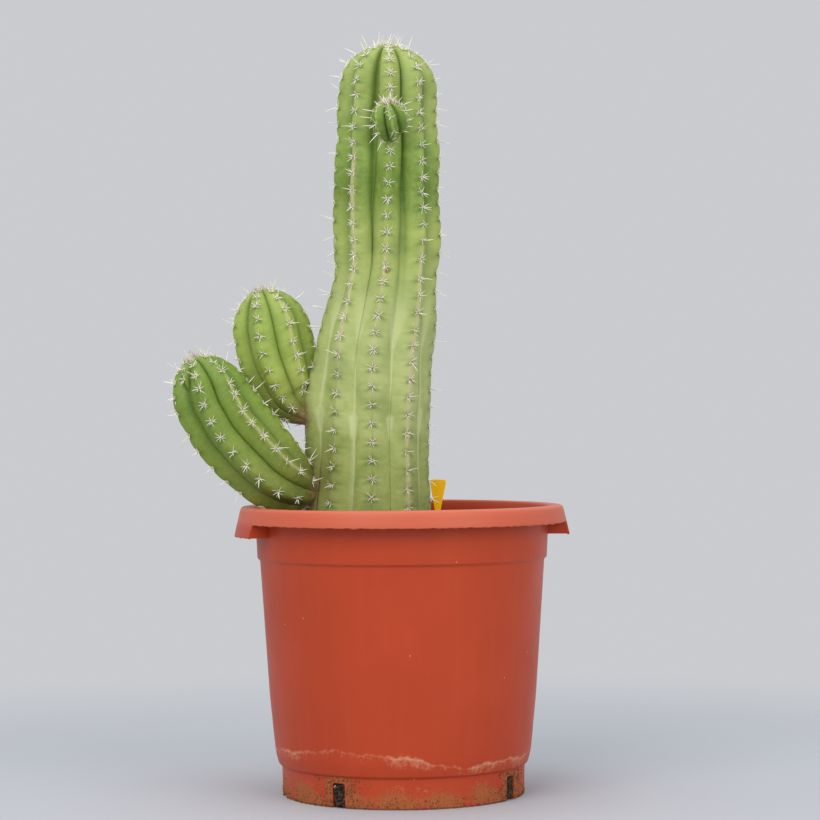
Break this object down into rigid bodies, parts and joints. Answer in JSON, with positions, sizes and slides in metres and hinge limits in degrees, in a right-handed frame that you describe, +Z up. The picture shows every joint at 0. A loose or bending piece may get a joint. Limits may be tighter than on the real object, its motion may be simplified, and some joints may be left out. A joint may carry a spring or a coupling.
{
  "type": "potted column cactus",
  "caption": "Tall ribbed column cactus with two side arms and a small offset, rooted in soil in a round nursery pot with grip lugs and drain slots.",
  "frame": {"origin": "centre of the pot's flat base, on the surface that the pot stands on", "axes": "+Z up along the pot's axis, -Y towards the front of the plant, +X to the right when seen from the front, with both arms on the -X side"},
  "size_m": [0.3953, 0.3294, 0.7465],
  "materials": {
    "pot_plastic": "moulded, satin",
    "potting_soil": "loose grains",
    "root_bark": "rough",
    "cactus_skin": "waxy satin",
    "label_plastic": "smooth satin"
  },
  "bodies": {
    "root": {"pot": "pot_plastic", "soil": "potting_soil", "roots": "root_bark", "main_stem": "cactus_skin", "lower_arm": "cactus_skin", "upper_arm": "cactus_skin", "offset_shoot": "cactus_skin", "plant_label": "label_plastic"}
  },
  "joints": []
}
